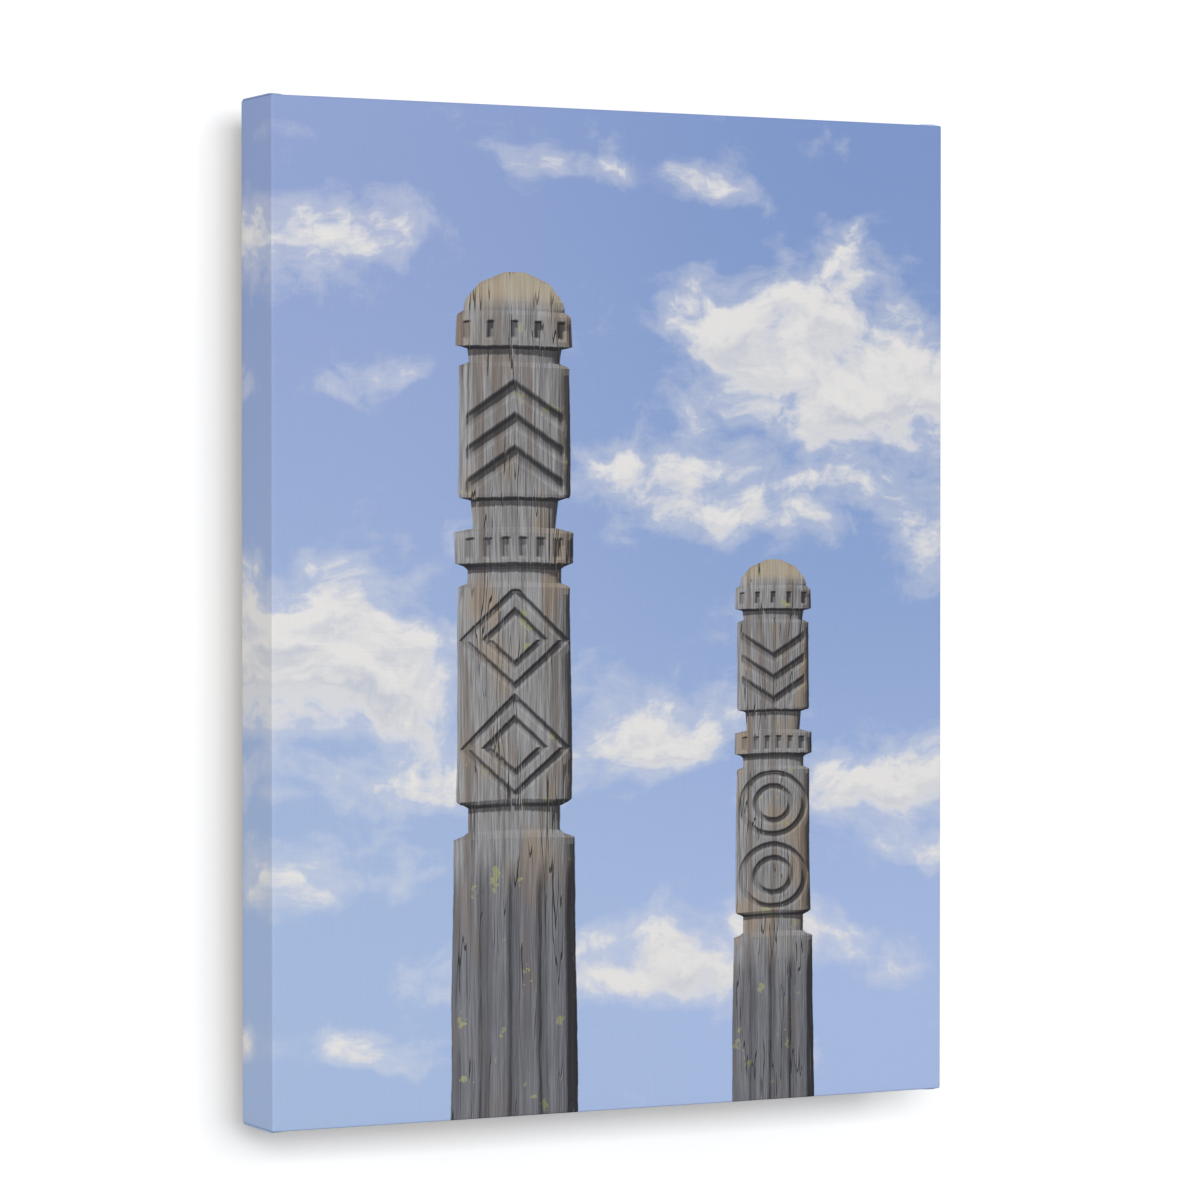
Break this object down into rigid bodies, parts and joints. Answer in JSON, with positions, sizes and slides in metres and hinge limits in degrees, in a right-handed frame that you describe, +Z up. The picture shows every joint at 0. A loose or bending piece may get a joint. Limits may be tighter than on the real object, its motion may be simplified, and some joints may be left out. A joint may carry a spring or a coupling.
{
  "type": "stretched canvas print",
  "caption": "Upright gallery-wrapped canvas print: printed canvas stretched over a mitred pine frame and stapled behind, with a sawtooth hanger on the top bar.",
  "frame": {"origin": "middle of the sawtooth hanger's rear face, which lies against the wall", "axes": "+Y out of the back towards the wall, so the picture faces -Y; +Z up, along the picture's height; +X to the right as the picture is seen"},
  "size_m": [0.3048, 0.0342, 0.408],
  "materials": {
    "printed_canvas": "satin inkjet print on woven poly-cotton canvas, unprinted off-white behind",
    "pine": "planed bare pine",
    "staple_wire": "zinc-coated wire",
    "hanger_steel": "zinc-plated pressed strip",
    "nail_steel": "bright drawn wire"
  },
  "bodies": {
    "root": {"canvas": "printed_canvas", "stretcher_bar_top": "pine", "stretcher_bar_bottom": "pine", "stretcher_bar_left": "pine", "stretcher_bar_right": "pine", "hanger": "hanger_steel", "hanger_nail_left": "nail_steel", "hanger_nail_right": "nail_steel", "staple_top_1": "staple_wire", "staple_top_2": "staple_wire", "staple_top_3": "staple_wire", "staple_top_4": "staple_wire", "staple_top_5": "staple_wire", "staple_bottom_1": "staple_wire", "staple_bottom_2": "staple_wire", "staple_bottom_3": "staple_wire", "staple_bottom_4": "staple_wire", "staple_bottom_5": "staple_wire", "staple_left_1": "staple_wire", "staple_left_2": "staple_wire", "staple_left_3": "staple_wire", "staple_left_4": "staple_wire", "staple_left_5": "staple_wire", "staple_left_6": "staple_wire", "staple_right_1": "staple_wire", "staple_right_2": "staple_wire", "staple_right_3": "staple_wire", "staple_right_4": "staple_wire", "staple_right_5": "staple_wire", "staple_right_6": "staple_wire"}
  },
  "joints": []
}
